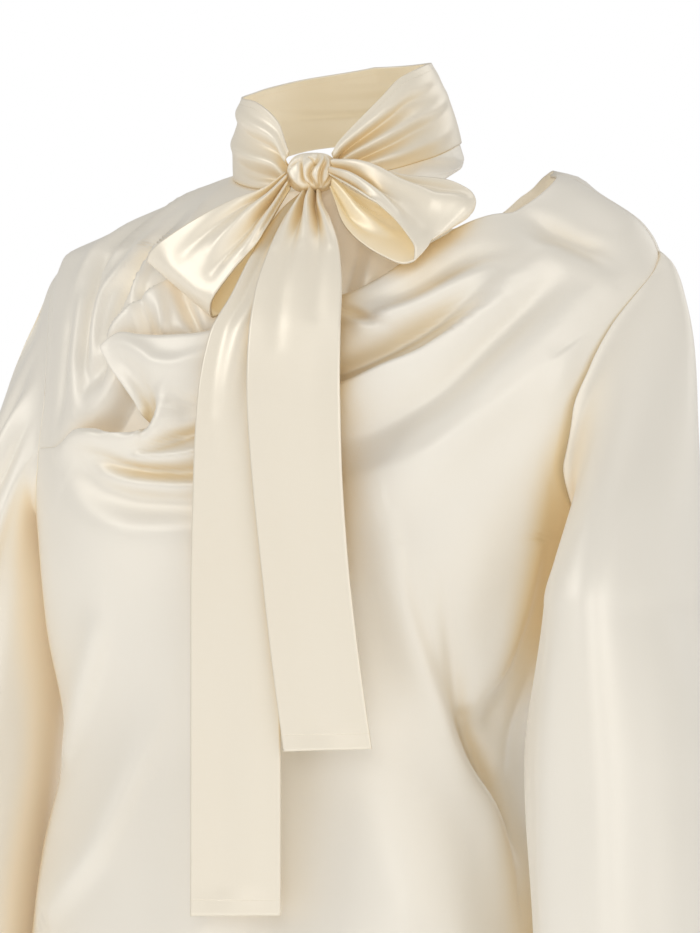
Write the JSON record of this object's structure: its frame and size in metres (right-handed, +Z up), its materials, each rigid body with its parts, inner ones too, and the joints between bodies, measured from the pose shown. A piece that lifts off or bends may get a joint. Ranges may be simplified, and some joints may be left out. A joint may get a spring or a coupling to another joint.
{
  "type": "bow-collar blouse",
  "caption": "Draped satin blouse, worn shape: asymmetric cowl front open at one shoulder, long loose sleeves, and a scarf collar tied in a bow with hanging tails.",
  "frame": {"origin": "middle of the neck opening at the base of the neck, where the wearer holds the blouse up", "axes": "+Z up, the front faces -Y, the wearer's left is +X"},
  "size_m": [0.67, 0.2951, 0.7155],
  "materials": {
    "body_satin": "ivory satin with a soft sheen",
    "scarf_satin": "cream satin with a soft sheen"
  },
  "bodies": {
    "root": {"front": "body_satin", "front_inner": "body_satin", "back": "body_satin", "sleeve_right": "body_satin", "sleeve_left": "body_satin", "collar_band": "scarf_satin", "bow_knot": "scarf_satin", "bow_loop_right": "scarf_satin", "bow_loop_left": "scarf_satin", "tail_short": "scarf_satin", "tail_long": "scarf_satin"}
  },
  "joints": []
}
